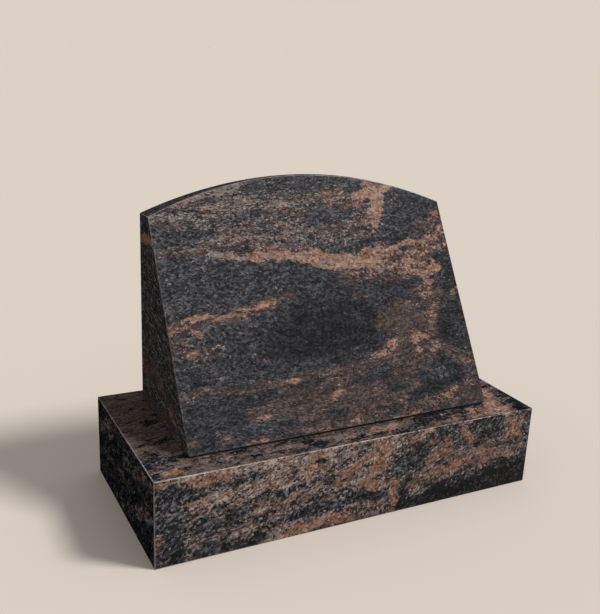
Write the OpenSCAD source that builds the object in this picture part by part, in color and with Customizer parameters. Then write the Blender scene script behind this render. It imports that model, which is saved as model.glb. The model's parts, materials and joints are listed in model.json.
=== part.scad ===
// Slant headstone: a wedge-shaped stone with an arched top, set on a broad base stone.
// The origin is the centre of the base's underside. X runs along the base to the
// viewer's right, the inscription face looks towards -Y, and Z points up. Millimetres.

/* [Base stone] */
// Width of the base, left to right
base_w = 762; // [700:2:920]
// Depth of the base, front to back
base_d = 356; // [340:2:430]
// Height of the base
base_h = 158; // [120:1:190]

/* [Slant stone] */
// Width of the slant stone
slant_w = 610; // [500:2:680]
// Depth of its foot, front to back
foot_d = 266; // [220:1:276]
// Height of its shoulders above its foot
shoulder_h = 358; // [298:1:440]
// Thickness of the stone at its shoulders
shoulder_t = 50; // [40:1:70]
// Rise of the arched top over the shoulders, measured square to the cut
arch_rise = 60; // [40:1:75]
// Fall of the arched top towards the back, in degrees
top_fall = 2.5; // [1:0.5:8]
// Ledge of the base in front of the slant stone
front_ledge = 50; // [40:1:60]

/* [Eased edges] */
// Width of the polished arris taken off each edge
arris = 2; // [0.5:0.25:4]

/* [Setting bed] */
// Thickness of the setting compound between the two stones
bed_t = 3; // [2:0.25:5]
// How far the compound is raked back from the slant stone's faces
bed_setback = 4; // [2:0.5:8]
// Side of the square spacers that carry the stone while the compound cures
spacer_side = 22; // [16:1:30]
// Distance of the spacers from the edges of the slant stone's foot
spacer_inset = 40; // [30:1:48]

/* [Dowels] */
// Diameter of the steel dowels
dowel_d = 12; // [8:1:16]
// Length of the steel dowels
dowel_len = 100; // [80:1:130]
// Distance between the two dowels
dowel_spacing = 320; // [250:1:400]
// Depth of each dowel hole below the top of the base
dowel_hole_depth = 50; // [40:1:62]
// Thickness of the resin around each dowel
resin_t = 2; // [1:0.25:3]
// Thickness of the resin over the head of each dowel
resin_cap = 4; // [2:0.5:8]

/* [Hidden] */
$fn = 64;

STONE = "#3a3331";
COMPOUND = "#2b2826";
STEEL = "#a9adb0";
RESIN = "#c9c2a4";
PLASTIC = "#22262c";

LEFT = -1;
RIGHT = 1;
FRONT = -1;
BACK = 1;

foot_z = base_h + bed_t;
foot_front = -base_d / 2 + front_ledge;
foot_back = foot_front + foot_d;
foot_middle = (foot_front + foot_back) / 2;
shoulder_z = foot_z + shoulder_h;
shoulder_front = foot_back - shoulder_t;

// Lean of the inscription face from the vertical
face_lean = atan((foot_d - shoulder_t) / shoulder_h);
// Drop of the top between its front and back edges, at the shoulders
shoulder_drop = shoulder_t * tan(top_fall);
// Slopes at which the small arris faces of the arch run, from front to back
front_arris_slope = (90 - face_lean - top_fall) / 2;
back_arris_slope = -(90 + top_fall) / 2;

// Longer than any straight line inside the slant stone
reach = slant_w + shoulder_h;

dowel_foot_z = base_h - dowel_hole_depth;
dowel_hole_r = dowel_d / 2 + resin_t;
dowel_hole_len = dowel_len + resin_cap;

// Radius of the circle that rises by rise over a chord as wide as the slant stone
function arch_radius(rise) = (pow(slant_w / 2, 2) + pow(rise, 2)) / (2 * rise);

// Rise of the arch that a line of the given slope sees, where the arch's edge lies on
// a face with the given lean from the vertical
function rise_seen(lean, slope) = arch_rise * cos(lean + slope) / cos(lean - top_fall);

// Rectangle about the origin with its corners cut off at 45 degrees
module eased_rectangle(width, depth, cut) {
    x = width / 2;
    y = depth / 2;
    polygon([
        [cut - x, -y], [x - cut, -y], [x, cut - y], [x, y - cut],
        [x - cut, y], [cut - x, y], [-x, y - cut], [-x, cut - y],
    ]);
}

// Block about the origin with all of its edges eased
module eased_block(width, depth, height, cut) {
    intersection() {
        linear_extrude(2 * height, center = true) eased_rectangle(width, depth, cut);
        rotate([90, 0, 0])
            linear_extrude(2 * depth, center = true) eased_rectangle(width, height, cut);
        rotate([90, 0, 90])
            linear_extrude(2 * width, center = true) eased_rectangle(depth, height, cut);
    }
}

// Side view of the slant stone, carried along X, with its two foot edges eased
module wedge() {
    top = shoulder_z + arch_rise;
    lean_in = tan(face_lean);
    rotate([90, 0, 90])
        linear_extrude(slant_w, center = true)
            polygon([
                [foot_front + arris, foot_z],
                [foot_back - arris, foot_z],
                [foot_back, foot_z + arris],
                [foot_back, top],
                [foot_front + (top - foot_z) * lean_in, top],
                [foot_front + arris * lean_in, foot_z + arris],
            ]);
}

// Drum whose highest line runs over the slant stone's crown at the given slope, and
// which passes through both shoulders at the height z where it crosses the depth y
module arch_drum(y, z, slope, rise) {
    radius = arch_radius(rise);
    translate([0, y, z])
        rotate([90 + slope, 0, 0])
            translate([0, rise - radius, 0])
                cylinder(r = radius, h = 2 * reach, center = true, $fn = 360);
}

// Bar that eases the two upright edges of the inscription face
module inscription_side_bar() {
    translate([0, foot_front, foot_z])
        rotate([-face_lean, 0, 0])
            translate([0, foot_d, 0])
                linear_extrude(2 * reach, center = true)
                    eased_rectangle(slant_w, 2 * foot_d, arris);
}

// Bar that eases the two upright edges of the back face
module back_side_bar() {
    translate([0, foot_back - foot_d, 0])
        linear_extrude(2 * reach) eased_rectangle(slant_w, 2 * foot_d, arris);
}

// What is cut away to ease the edge between the arch and one side
module shoulder_cut(side) {
    arch_end_slope = asin(slant_w / 2 / arch_radius(arch_rise));
    cut_turn = (90 - arch_end_slope) / 2;
    translate([side * slant_w / 2, shoulder_front, shoulder_z])
        rotate([-top_fall, 0, 0])
            rotate([0, -side * cut_turn, 0])
                translate([side * (reach / 2 - arris * sin(cut_turn)), 0, 0])
                    cube([reach, reach, reach / 4], center = true);
}

// Hole for one dowel and its resin, from its foot in the base to its end in the slant stone
module dowel_hole(side) {
    translate([side * dowel_spacing / 2, foot_middle, dowel_foot_z])
        cylinder(r = dowel_hole_r, h = dowel_hole_len);
}

module base() {
    color(STONE)
        difference() {
            translate([0, 0, base_h / 2]) eased_block(base_w, base_d, base_h, arris);
            for (side = [LEFT, RIGHT]) dowel_hole(side);
        }
}

module slant_stone() {
    color(STONE)
        difference() {
            intersection() {
                wedge();
                inscription_side_bar();
                back_side_bar();
                arch_drum(shoulder_front, shoulder_z, -top_fall, arch_rise);
                arch_drum(
                    shoulder_front - arris * sin(face_lean),
                    shoulder_z - arris * cos(face_lean),
                    front_arris_slope,
                    rise_seen(face_lean, front_arris_slope)
                );
                arch_drum(
                    foot_back,
                    shoulder_z - shoulder_drop - arris,
                    back_arris_slope,
                    rise_seen(0, back_arris_slope)
                );
            }
            for (side = [LEFT, RIGHT]) {
                shoulder_cut(side);
                dowel_hole(side);
            }
        }
}

// Setting compound under the slant stone, holding the spacers and let through by the dowels
module bed_joint() {
    color(COMPOUND)
        difference() {
            translate([0, foot_middle, base_h + bed_t / 2])
                cube([slant_w - 2 * bed_setback, foot_d - 2 * bed_setback, bed_t], center = true);
            for (side = [LEFT, RIGHT]) {
                dowel_hole(side);
                spacer_block(side, FRONT);
                spacer_block(side, BACK);
            }
        }
}

module dowel(side) {
    color(STEEL)
        translate([side * dowel_spacing / 2, foot_middle, dowel_foot_z])
            cylinder(d = dowel_d, h = dowel_len);
}

// Resin that fills the hole around and above one dowel
module dowel_resin(side) {
    color(RESIN)
        difference() {
            dowel_hole(side);
            dowel(side);
        }
}

module spacer_block(side, row) {
    translate([
        side * (slant_w / 2 - spacer_inset - spacer_side / 2),
        foot_middle + row * (foot_d / 2 - spacer_inset - spacer_side / 2),
        base_h + bed_t / 2,
    ])
        cube([spacer_side, spacer_side, bed_t], center = true);
}

module spacer(side, row) {
    color(PLASTIC) spacer_block(side, row);
}

base();
slant_stone();
bed_joint();
dowel(LEFT);  // dowel_left
dowel(RIGHT);  // dowel_right
dowel_resin(LEFT);  // dowel_resin_left
dowel_resin(RIGHT);  // dowel_resin_right
spacer(LEFT, FRONT);  // spacer_front_left
spacer(RIGHT, FRONT);  // spacer_front_right
spacer(LEFT, BACK);  // spacer_back_left
spacer(RIGHT, BACK);  // spacer_back_right
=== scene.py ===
"""Slant headstone of polished gneiss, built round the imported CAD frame.

The stone is migmatite gneiss: charcoal biotite layers, brown feldspar layers and salmon
veins, sawn, eased and polished. Meshes, the camera and the floor are in metres; every
other length is in millimetres.
"""

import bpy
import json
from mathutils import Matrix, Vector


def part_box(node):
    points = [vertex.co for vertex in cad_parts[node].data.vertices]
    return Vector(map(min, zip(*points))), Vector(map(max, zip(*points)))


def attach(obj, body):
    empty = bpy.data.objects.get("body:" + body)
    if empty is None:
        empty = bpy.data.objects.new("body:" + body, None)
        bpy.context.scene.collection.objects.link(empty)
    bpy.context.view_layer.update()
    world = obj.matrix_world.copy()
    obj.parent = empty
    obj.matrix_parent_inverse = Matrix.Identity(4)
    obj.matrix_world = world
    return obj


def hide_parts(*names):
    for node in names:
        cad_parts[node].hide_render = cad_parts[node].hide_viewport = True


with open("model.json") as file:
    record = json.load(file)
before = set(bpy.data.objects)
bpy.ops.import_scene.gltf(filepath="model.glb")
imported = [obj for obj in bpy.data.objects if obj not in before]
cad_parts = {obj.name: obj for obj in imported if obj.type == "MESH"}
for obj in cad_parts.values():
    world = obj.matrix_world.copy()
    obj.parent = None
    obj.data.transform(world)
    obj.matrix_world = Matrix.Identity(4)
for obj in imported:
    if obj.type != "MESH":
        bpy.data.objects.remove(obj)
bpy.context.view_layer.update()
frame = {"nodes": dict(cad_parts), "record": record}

import json
import logging
import math
from dataclasses import dataclass
from enum import Enum
from functools import partial
from typing import Any

import bpy
import numpy as np
from mathutils import Matrix, Vector
from numpy.typing import NDArray

logging.basicConfig(level=logging.INFO, format="%(levelname)s %(message)s")
LOG = logging.getLogger("slant_headstone")

Array = NDArray[np.float64]
Colour = tuple[float, float, float, float]
Stops = tuple[tuple[float, str], ...]

MM = 0.001
MM_PER_M = 1000.0

# Large numbers that scatter a lattice point's place and seed into random bits
PLACE_MIX = (73856093, 19349663, 83492791)
SEED_MIX = 2654435761
BIT_MIX = 1274126177
LOW_BITS = 0xFFFF


def linear_colour(hex_code: str) -> Colour:
    """Turn an sRGB hex colour into the linear colour that shaders take.

    Args:
        hex_code: Six hex digits after a hash, such as "#3a3331".

    Returns:
        Red, green, blue and an alpha of 1, all linear.
    """
    parts = [int(hex_code[i:i + 2], 16) / 255.0 for i in (1, 3, 5)]
    red, green, blue = (c / 12.92 if c <= 0.04045 else ((c + 0.055) / 1.055) ** 2.4 for c in parts)
    return (red, green, blue, 1.0)


def add_node(
    tree: bpy.types.NodeTree,
    kind: str,
    inputs: dict[str, Any] | None = None,
    stops: Stops = (),
    **settings: Any,
) -> bpy.types.Node:
    """Add one node with its settings, values and links.

    Args:
        tree: Node tree that takes the node.
        kind: Blender's name for the node, less "ShaderNode", such as "Mix".
        inputs: Input names, each with a value, a socket to link from, or a node whose
            first output in use is linked. Of inputs that share a name, a digit after
            the name picks a later one.
        stops: Places and hex colours of a colour ramp.
        settings: Attributes of the node.

    Returns:
        The new node.
    """
    node = tree.nodes.new("ShaderNode" + kind)
    for name, value in settings.items():
        setattr(node, name, value)
    for name, value in (inputs or {}).items():
        position = 0
        if name[-1].isdigit():
            name, position = name[:-1], int(name[-1])
        socket = [s for s in node.inputs if s.enabled and s.name == name][position]
        if isinstance(value, bpy.types.Node):
            value = next(s for s in value.outputs if s.enabled)
        if isinstance(value, bpy.types.NodeSocket):
            tree.links.new(value, socket)
        else:
            socket.default_value = value
    for index, (place, hex_code) in enumerate(stops):
        elements = node.color_ramp.elements
        element = elements[index] if index < len(elements) else elements.new(place)
        element.position = place
        element.color = linear_colour(hex_code)
    return node


def new_material(name: str) -> tuple[bpy.types.Material, bpy.types.NodeTree]:
    """Make an empty node material.

    Args:
        name: Name of the material.

    Returns:
        The material and its node tree.
    """
    material = bpy.data.materials.new(name)
    material.use_nodes = True
    material.node_tree.nodes.clear()
    return material, material.node_tree


def new_object(name: str, data: bpy.types.ID) -> bpy.types.Object:
    """Put data into the scene as an object.

    Args:
        name: Name of the object.
        data: Mesh, camera or light that it shows.

    Returns:
        The object, at the origin.
    """
    thing = bpy.data.objects.new(name, data)
    bpy.context.scene.collection.objects.link(thing)
    return thing


def smooth_step(low: float, high: float, value: Array) -> Array:
    """Rise from 0 at low to 1 at high along 3t^2 - 2t^3."""
    t = np.clip((value - low) / (high - low), 0.0, 1.0)
    return t * t * (3.0 - 2.0 * t)


def lattice_noise(points: Array, cell: float, seed: int) -> Array:
    """Smooth noise: random values on a cubic lattice, blended by smooth_step in each cell.

    Args:
        points: Points, one a row.
        cell: Side of a lattice cell.
        seed: Number that picks the random values.

    Returns:
        One value from -1 to 1 for each point.
    """
    scaled = points / cell
    corner = np.floor(scaled).astype(np.int64)
    t = smooth_step(0.0, 1.0, scaled - corner)
    total = np.zeros(len(points))
    for step in np.ndindex(2, 2, 2):
        x, y, z = ((corner + step) * PLACE_MIX).T
        value = (x ^ y ^ z) + seed * SEED_MIX
        value = (value ^ (value >> 13)) * BIT_MIX
        value = ((value ^ (value >> 16)) & LOW_BITS) / (LOW_BITS / 2) - 1.0
        total += value * np.prod(np.where(step, t, 1.0 - t), axis=1)
    return total


@dataclass(frozen=True)
class Noise:
    """Layers of lattice noise, each of half the cell and half the height of the one before.

    Attributes:
        height: Most that the first layer adds or takes away.
        cell: Side of its lattice cell.
        salt: Number that tells this noise from others of the same seed.
        layers: How many layers there are.
    """

    height: float
    cell: float
    salt: int = 0
    layers: int = 3

    def at(self, points: Array, seed: int) -> Array:
        """One value for each point: the height times the sum of noise(cell / 2^n) / 2^n."""
        layers = (
            lattice_noise(points, self.cell / 2**n, seed + self.salt + n) / 2**n for n in range(self.layers)
        )
        return self.height * sum(layers)


# What bends the bands, moves and roughens their edges, and lets their brown share drift
SLOW_BEND = Noise(16.0, 130.0, 0, layers=1)
QUICK_BEND = Noise(5.0, 45.0, 5, layers=1)
EDGE_UP = Noise(4.0, 34.0, 11)
EDGE_ACROSS = Noise(6.0, 40.0, 23)
EDGE_RAGGED = Noise(0.40, 16.0, 37)
BROWN_DRIFT = Noise(0.12, 26.0, 51)

# How these are drawn out along the bands: factors on the lengths along, over and back
BEND_DRAW = (0.6, 1.0, 1.0)
EDGE_DRAW = (0.55, 1.0, 1.0)
DRIFT_DRAW = (0.5, 1.3, 1.0)
DEPTH_DRAW = 0.5

# Nicks along the edges, where the noise is over the floor, and how pale the arrises are: partly wear, partly
# a painted highlight
NICKS = Noise(1.0, 9.0, 71, layers=2)
NICK_FLOOR = 0.55
WEAR_AND_SHEEN = Noise(0.8, 200.0, layers=1)

# Parts of a unit normal between which the surface turns from one face to the next: where
# the bands change over, and where honed ends and a honed top begin
BAND_TURN = (0.6, 0.85)
END_TURN = (0.2, 0.8)
TOP_TURN = (0.7, 0.9)


class Band(Enum):
    """What a patch of stone is made of: shares of salmon, brown, black and pale grains.

    What is left over is grey. Brown grains lie over black ones, salmon over brown, and
    pale over all.
    """

    GREY = (0.00, 0.06, 0.00, 0.07)
    DUSK = (0.00, 0.07, 0.50, 0.06)
    MICA = (0.00, 0.10, 0.70, 0.06)
    BLACK = (0.00, 0.00, 1.00, 0.00)
    FLECKED = (0.00, 0.10, 0.50, 0.30)
    UMBER = (0.00, 0.78, 0.92, 0.00)
    BROWN = (0.12, 0.84, 0.20, 0.10)
    ROSY = (0.46, 0.88, 0.00, 0.20)
    SPECKLED = (0.18, 0.62, 0.00, 0.34)
    # Darker ground of the base's top, partly painted shade
    DUN = (0.10, 0.62, 0.40, 0.14)
    MIXED = (0.30, 0.60, 0.10, 0.24)
    SALMON = (0.98, 1.00, 0.00, 0.14)
    PEACH = (1.00, 1.00, 0.00, 0.30)
    PALE = (0.30, 0.70, 0.00, 0.70)


GREY, DUSK, MICA, BLACK, FLECKED, UMBER, BROWN, ROSY, SPECKLED, DUN, MIXED, SALMON, PEACH, PALE = Band


@dataclass(frozen=True)
class Streak:
    """A band drawn on one face of a stone along a bent line.

    Attributes:
        band: What the streak is made of.
        line: Three numbers a point: across, up and half the streak's width.
        strength: How far it covers what lies under it, from 0 to 1.
        feather: How softly its edge fades, as a share of its half width.
    """

    band: Band
    line: tuple[float, ...]
    strength: float = 0.85
    feather: float = 0.6

    def cover(self, across: Array, up: Array, ragged: Array) -> Array:
        """How much of the streak lies at each point of the face.

        The distance to each straight piece of the line is divided by the half width
        there; the least of these, roughened, is turned into a share that falls from 1
        inside the streak to 0 outside.

        Args:
            across: Distance to the right of the face's middle line.
            up: Distance above the face's foot.
            ragged: Noise that roughens the edge.

        Returns:
            One share for each point, from 0 to the streak's strength.
        """
        ends = np.reshape(self.line, (-1, 3))
        reach = np.full(across.shape, np.inf)
        for start, end in zip(ends[:-1], ends[1:]):
            run = end[:2] - start[:2]
            along = (across - start[0]) * run[0] + (up - start[1]) * run[1]
            t = np.clip(along / float(run @ run), 0.0, 1.0)
            distance = np.hypot(across - start[0] - t * run[0], up - start[1] - t * run[1])
            reach = np.minimum(reach, distance / (start[2] + t * (end[2] - start[2])))
        return self.strength * (1.0 - smooth_step(1.0 - self.feather, 1.0 + self.feather, reach + ragged))


def streaks(*rows: tuple[Any, ...]) -> tuple[Streak, ...]:
    """Streaks of rows that give a band, a line and, if not as usual, strength and feather."""
    return tuple(Streak(*row) for row in rows)


@dataclass(frozen=True)
class Drawing:
    """The bands of one kind of face: what lies under all, and the streaks over it.

    Attributes:
        ground: What the stone is made of where no streak lies.
        streaks: The streaks, the later ones over the earlier ones.
    """

    ground: Band
    streaks: tuple[Streak, ...] = ()

    def shares(self, across: Array, up: Array, ragged: Array) -> Array:
        """Lay each streak over the ones before it, as paint is.

        Args:
            across: Place along the face.
            up: Place up the face.
            ragged: Noise that roughens the streaks' edges.

        Returns:
            Shares of salmon, brown, black and pale grains, four a point.
        """
        share = np.tile(np.array(self.ground.value), (len(across), 1))
        for streak in self.streaks:
            cover = streak.cover(across, up, ragged)
            share += cover[:, None] * (np.array(streak.band.value) - share)
        return share


@dataclass(frozen=True)
class Figure:
    """The bands of one stone, and how they run back through it.

    Attributes:
        front: Bands on the front and the back, by lengths across and up.
        ends: Bands on the two ends, by lengths from the right edge, seen from outside, and up.
        top: Bands on the top, by lengths across and behind the front face.
        rise_across: How far the bands rise for each millimetre to the right.
        shift_back: How far they move to the left for each millimetre of depth.
        dip_back: How far they fall for each millimetre of depth.
        seed: Number that picks the noise.
    """

    front: Drawing
    ends: Drawing
    top: Drawing
    rise_across: float
    shift_back: float
    dip_back: float
    seed: int

    def bedding(self, across: Array, up: Array, depth: Array) -> Array:
        """Coordinates that follow the bands: along them, over them and back.

        Args:
            across: Distance to the right of the middle line.
            up: Distance above the foot of the front face.
            depth: Distance behind the front face.

        Returns:
            Three coordinates a point, bent by slow noise.
        """
        level = up + self.dip_back * depth - self.rise_across * across
        flat = np.column_stack([across + self.shift_back * depth, level, depth])
        slow = flat * BEND_DRAW
        bend = SLOW_BEND.at(slow, self.seed) + QUICK_BEND.at(slow, self.seed)
        return flat + np.outer(bend, (0.0, 1.0, 0.0))

    def shares(self, across: Array, up: Array, depth: Array, normal: Array) -> Array:
        """Shares of salmon, brown, black and pale grains at each point.

        The front's, the ends' and the top's bands meet at the arrises, in the
        proportion in which the surface turns from one to the next.

        Args:
            across: Distance to the right of the middle line.
            up: Distance above the foot of the front face.
            depth: Distance behind the front face.
            normal: The surface's normals.

        Returns:
            Four shares a point, from 0 to 1.
        """
        place = np.column_stack([
            across + self.shift_back * depth, up + self.dip_back * depth, depth * DEPTH_DRAW,
        ])
        drawn_out = place * EDGE_DRAW
        warp_up = EDGE_UP.at(drawn_out, self.seed)
        warp_across = EDGE_ACROSS.at(place, self.seed)
        ragged = EDGE_RAGGED.at(drawn_out, self.seed)
        share = self.front.shares(place[:, 0] + warp_across, place[:, 1] + warp_up, ragged)
        from_right = np.where(across < 0.0, depth, depth.max() - depth)
        for drawing, along, over, facing in (
            (self.ends, from_right, up, np.abs(normal[:, 0])),
            (self.top, across, depth, normal[:, 2]),
        ):
            weight = smooth_step(*BAND_TURN, facing)[:, None]
            share += weight * (drawing.shares(along + warp_across, over + warp_up, ragged) - share)
        share[:, 1] += BROWN_DRIFT.at(drawn_out * DRIFT_DRAW, self.seed) * (1.0 - share[:, 2])
        return np.clip(share, 0.0, 1.0)


SLANT_FRONT = streaks(
    # Speckled layer under the arch
    (SPECKLED, (-330, 400, 50, -200, 405, 58, -60, 410, 70, 60, 400, 70, 130, 370, 40)),
    (SPECKLED, (-210, 365, 12, -120, 362, 16, -30, 360, 14), 0.6),
    (GREY, (-300, 380, 16, -240, 384, 16, -195, 378, 8), 0.8),
    (GREY, (-180, 408, 8, -140, 404, 9, -100, 408, 6), 0.5),
    (GREY, (15, 400, 20, 60, 402, 24, 100, 412, 12)),
    (GREY, (-30, 470, 16, 50, 474, 18, 130, 468, 8), 0.6),
    (PALE, (-262, 440, 5, -205, 456, 9, -135, 466, 12), 0.8),
    (PALE, (-170, 426, 9, -112, 432, 10, -20, 428, 8), 0.4),
    (PALE, (-200, 372, 5, -150, 370, 6, -60, 368, 5, -10, 366, 4), 0.45),
    (PALE, (-300, 408, 5, -240, 412, 6, -150, 418, 5), 0.35),
    (PEACH, (-245, 444, 4, -208, 450, 5), 0.6),
    (SALMON, (-172, 374, 3, -148, 374, 4), 0.4),
    # Salmon pocket at the right of the arch, with one knot of mica
    (ROSY, (55, 442, 13, 85, 436, 17, 115, 420, 16), 0.75),
    (SPECKLED, (50, 372, 8, 90, 384, 12, 135, 385, 18), 0.8),
    (ROSY, (60, 376, 4, 100, 392, 6, 130, 386, 12), 0.6),
    (SALMON, (112, 440, 9, 140, 441, 18, 160, 432, 20), 0.9),
    (SALMON, (158, 448, 12, 178, 455, 10, 204, 461, 6), 0.9),
    (SALMON, (150, 425, 22, 152, 410, 16), 0.9),
    (SALMON, (148, 402, 12, 142, 388, 10, 148, 370, 6), 0.6),
    (BLACK, (131, 427, 4, 140, 427, 4), 1.0, 0.2),
    # Dark pocket under the right shoulder
    (DUSK, (212, 410, 34, 246, 425, 30, 285, 436, 12), 0.75, 0.2),
    (GREY, (190, 385, 26, 225, 372, 30, 236, 358, 18, 180, 360, 10), 0.7, 0.45),
    (MICA, (110, 346, 5, 185, 348, 6), 0.7, 0.45),
    (BROWN, (212, 366, 9, 262, 368, 14), 0.6),
    (PALE, (198, 427, 2, 212, 438, 2.5, 228, 447, 2), 0.6),
    (ROSY, (294, 392, 8, 284, 376, 18, 280, 350, 24)),
    # Main vein: thin and pale at the left, thick in the middle, forked at the right
    (BROWN, (-320, 350, 5, -205, 348, 6), 0.5),
    (PALE, (-300, 352, 2, -236, 355, 4, -206, 353, 6), 0.5),
    (ROSY, (-130, 343, 6, -60, 341, 12, 10, 336, 10), 0.7),
    (ROSY, (-204, 344, 8, -160, 337, 10, -110, 333, 8), 0.7),
    (PALE, (-200, 341, 6, -178, 337, 7, -155, 332, 7, -128, 328, 6, -95, 325, 4)),
    (PEACH, (-196, 338, 3, -150, 330, 4, -126, 327, 3), 0.6),
    (UMBER, (-158, 340, 1.5, -134, 334, 2), 0.7),
    (BLACK, (-122, 334, 3, -110, 334, 3.5), 0.95, 0.3),
    (ROSY, (110, 300, 22, 180, 304, 32, 240, 306, 34, 285, 335, 30), 0.95, 0.45),
    (PEACH, (-128, 331, 5, -98, 329, 8, -50, 327, 10, 0, 323, 13, 25, 315, 13), 0.9, 0.45),
    (PALE, (-98, 323, 2, -40, 318, 2), 0.6),
    (PEACH, (20, 312, 13, 60, 307, 16, 92, 304, 22, 120, 307, 20), 0.95, 0.45),
    (SALMON, (110, 324, 12, 140, 328, 9, 168, 332, 6), 0.8),
    (SALMON, (178, 333, 6, 205, 338, 7, 240, 342, 5), 0.8),
    (PALE, (12, 311, 5, 27, 312, 6), 0.7),
    (PALE, (100, 322, 3, 110, 322, 4), 0.5),
    (PALE, (164, 330, 3, 174, 330, 4), 0.6),
    (BROWN, (20, 276, 8, 60, 276, 14, 100, 270, 14, 150, 268, 11, 200, 267, 6), 0.9),
    (ROSY, (60, 284, 7, 100, 280, 13, 150, 286, 14), 0.9),
    (DUSK, (280, 305, 14, 300, 270, 24, 288, 235, 18, 262, 225, 12), 0.9, 0.45),
    (SALMON, (203, 280, 5, 240, 276, 9, 270, 279, 8), 0.85, 0.45),
    (SALMON, (232, 272, 12, 236, 256, 11, 224, 243, 6), 0.85, 0.45),
    (ROSY, (226, 240, 11, 232, 215, 13, 230, 190, 12), 0.75),
    (SALMON, (232, 232, 6, 230, 200, 7, 224, 180, 6), 0.45),
    (SALMON, (302, 236, 5, 286, 222, 6), 0.55),
    # Large black lens, which fades out to the left
    (MICA, (-290, 140, 26, -180, 155, 42, -70, 198, 54, 90, 208, 48), 0.5, 0.6),
    (BLACK, (-95, 170, 30, -40, 178, 54, 30, 180, 57, 64, 186, 42, 84, 210, 22), 0.95, 0.4),
    (BLACK, (120, 244, 14, 150, 246, 16, 205, 246, 16), 0.45, 0.45),
    (BROWN, (10, 246, 9, 60, 244, 10), 0.25),
    (BROWN, (68, 240, 9, 98, 233, 8), 0.65),
    (BROWN, (203, 230, 9, 250, 226, 12), 0.6),
    # Brown limb that drops down the right side
    (BROWN, (155, 206, 17, 195, 198, 26, 232, 200, 18), 0.9),
    (BROWN, (125, 180, 26, 170, 165, 40, 215, 160, 24), 0.85, 0.45),
    (ROSY, (205, 215, 14, 200, 165, 30, 185, 130, 24), 0.2, 0.8),
    (ROSY, (218, 236, 14, 226, 205, 17, 226, 172, 12), 0.7),
    (BROWN, (255, 228, 9, 282, 206, 9, 300, 196, 6), 0.6),
    (BROWN, (110, 120, 12, 160, 114, 32, 230, 114, 25, 300, 92, 11), 0.75),
    (SALMON, (66, 116, 4, 92, 124, 8, 128, 144, 9), 0.75),
    (SALMON, (172, 148, 7, 198, 145, 10, 222, 132, 9, 243, 118, 6), 0.35),
    (SALMON, (178, 140, 8, 174, 115, 9, 165, 94, 6), 0.45),
    (SALMON, (206, 116, 5, 214, 119, 5), 0.55),
    (BROWN, (240, 122, 8, 262, 104, 9, 290, 88, 11)),
    (SALMON, (280, 86, 5, 302, 82, 6), 0.55),
    (BLACK, (252, 165, 16, 275, 180, 24, 305, 185, 26), 0.5, 0.45),
    (BLACK, (262, 150, 18, 285, 128, 20, 305, 120, 14), 0.7, 0.45),
    (BROWN, (288, 158, 3, 294, 165, 4), 0.6),
    # Second vein at the left, and the mottled patch under it
    (MIXED, (-320, 180, 28, -270, 180, 28, -215, 170, 14), 0.65),
    (BROWN, (-310, 212, 9, -230, 228, 12, -150, 236, 13, -60, 256, 7), 0.75),
    (ROSY, (-320, 213, 6, -262, 222, 7), 0.7),
    (SALMON, (-268, 229, 4, -250, 231, 7, -205, 229, 6, -150, 239, 7, -105, 246, 5), 0.7),
    (SALMON, (-262, 205, 5, -248, 202, 5), 0.65),
    (SALMON, (-280, 170, 5, -266, 166, 5), 0.5),
    (BROWN, (-145, 150, 6, -135, 145, 7), 0.5),
    (PALE, (-232, 127, 2, -218, 125, 2), 0.7),
    # Brown layer along the foot, with dark lenses in it
    (BROWN, (-320, 98, 12, -230, 100, 12, -130, 98, 9, -30, 102, 12, 40, 108, 9, 90, 112, 8)),
    (BROWN, (-310, 92, 10, -292, 74, 9), 0.7),
    (BROWN, (-175, 55, 14, -120, 60, 24, -40, 62, 34, 60, 60, 42, 150, 75, 36)),
    (BROWN, (-180, 12, 12, -60, 20, 24, 120, 18, 26, 300, 40, 40), 0.75),
    (PALE, (-30, 104, 4, 0, 110, 6, 30, 112, 3), 0.3),
    (SALMON, (-100, 101, 3, -78, 101, 5), 0.65),
    (SALMON, (-22, 56, 8, -8, 74, 9), 0.45),
    (BLACK, (-100, 91, 3, -80, 90, 5, -58, 94, 3)),
    (DUSK, (-285, 45, 34, -230, 55, 26, -180, 78, 12, -120, 84, 5), 0.9),
    (DUSK, (-320, 18, 18, -250, 12, 12, -200, 14, 5), 0.9),
    (ROSY, (-242, 18, 8, -215, 24, 8), 0.65),
    (BROWN, (-305, 22, 5, -280, 22, 4), 0.6),
    (SALMON, (-172, 44, 3, -148, 46, 3), 0.5),
    (ROSY, (-195, 8, 6, -158, 8, 6), 0.8),
    (PALE, (-192, 9, 3, -175, 9, 4), 0.5),
    (MICA, (-132, 28, 7, -104, 26, 8), 0.8),
    (MICA, (-146, 14, 6, -118, 6, 5), 0.7),
    (MICA, (-35, 32, 6, 0, 26, 8), 0.7),
    (MICA, (30, 80, 8, 66, 86, 12), 0.8),
    (MICA, (84, 88, 8, 98, 86, 9), 0.75),
    (MICA, (98, 60, 6, 138, 60, 6), 0.55),
    (MICA, (78, 14, 6, 98, 14, 6), 0.6),
    (MICA, (230, 100, 13, 240, 80, 17, 244, 62, 12), 0.95, 0.45),
    (MICA, (178, 78, 8, 182, 60, 12, 195, 48, 10), 0.9),
    (BLACK, (128, 31, 4, 162, 38, 9, 200, 46, 12, 240, 58, 9, 264, 64, 5), 0.85, 0.45),
    (ROSY, (92, 5, 4, 150, 12, 8, 190, 18, 7), 0.6),
    (SALMON, (196, 22, 6, 215, 26, 7, 246, 36, 4), 0.45),
    (SALMON, (96, 5, 4, 122, 6, 4), 0.6),
    (MICA, (194, 7, 4, 216, 10, 6), 0.6),
    (ROSY, (-95, 10, 7, -40, 8, 7), 0.6),
    (SALMON, (0, 10, 5, 20, 12, 6), 0.4),
)

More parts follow.
